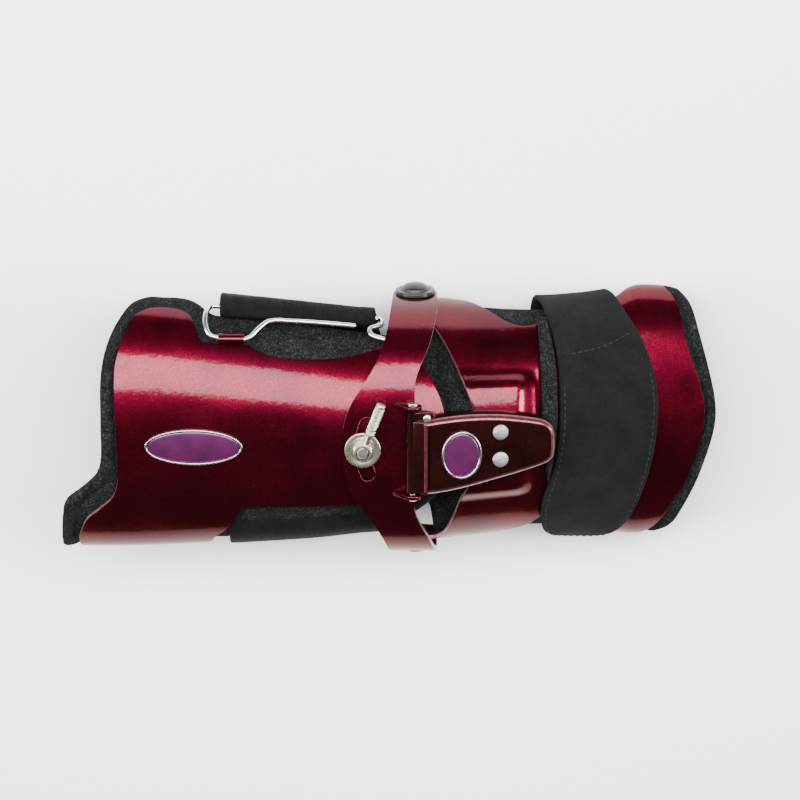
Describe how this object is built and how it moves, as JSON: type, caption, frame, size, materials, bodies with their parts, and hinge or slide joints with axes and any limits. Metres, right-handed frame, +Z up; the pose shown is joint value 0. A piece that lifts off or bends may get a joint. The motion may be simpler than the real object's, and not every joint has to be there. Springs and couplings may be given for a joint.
{
  "type": "bowling glove",
  "caption": "Rigid metal wrist positioner worn as a bowling glove: rolled forearm guard, hinged hand guard with support lever, wrist yoke with clamp, foam lining and webbing straps.",
  "frame": {"origin": "middle of the bounding box on the floor, under the wrist", "axes": "+X towards the fingers, +Y towards the thumb side, +Z up from the palm side to the back of the hand"},
  "size_m": [0.283, 0.1214, 0.0861],
  "materials": {
    "red_metal": "deep red clear-coated sheet metal with fine flake",
    "lever_metal": "dark brown-red clear-coated sheet metal",
    "lining": "black ribbed fabric over foam",
    "webbing": "black ribbed webbing",
    "knit": "charcoal knit loop fabric",
    "bright_steel": "polished steel wire",
    "hardware": "nickel-plated, slightly yellow",
    "rivet_silver": "matt silver rivet heads",
    "black_cap": "black gloss domed rivet",
    "badge_purple": "gloss purple enamel, bare",
    "badge_rim": "polished silver rim"
  },
  "bodies": {
    "forearm": {"forearm_plate": "red_metal", "forearm_pad": "lining", "forearm_strap": "webbing", "strap_wire": "bright_steel", "forearm_badge_rim": "badge_rim", "forearm_badge_face": "badge_purple", "clamp_bolt": "hardware", "clamp_washer": "hardware", "yoke_rivet": "hardware"},
    "thumb_lever": {"clamp_lever": "hardware"},
    "yoke": {"yoke": "red_metal", "pivot_rivet_thumb": "black_cap", "pivot_rivet_little": "black_cap", "lever_pin": "hardware"},
    "hand": {"hand_plate": "red_metal", "hand_pad": "lining", "hand_strap": "knit", "strap_cushion": "lining"},
    "support_lever": {"lever_box": "lever_metal", "lever_badge_rim": "badge_rim", "lever_badge_face": "badge_purple", "lever_rivet_upper": "rivet_silver", "lever_rivet_lower": "rivet_silver"}
  },
  "joints": [
    {"name": "yoke_swing", "type": "hinge", "parent": "forearm", "child": "yoke", "pos_m": [0.01975, 0, 0.075], "axis": [0, 0, 1], "range_deg": [-6, 6]},
    {"name": "hand_flex", "type": "hinge", "parent": "yoke", "child": "hand", "pos_m": [0.01175, 0, 0.0295], "axis": [0, 1, 0], "range_deg": [0, 25]},
    {"name": "support_lever_lift", "type": "hinge", "parent": "yoke", "child": "support_lever", "pos_m": [0.01055, 0, 0.0794], "axis": [0, -1, 0], "range_deg": [0, 80]},
    {"name": "clamp_turn", "type": "hinge", "parent": "forearm", "child": "thumb_lever", "pos_m": [-0.01065, 0, 0.08], "axis": [0, 0, 1], "range_deg": [-8, 160]}
  ]
}
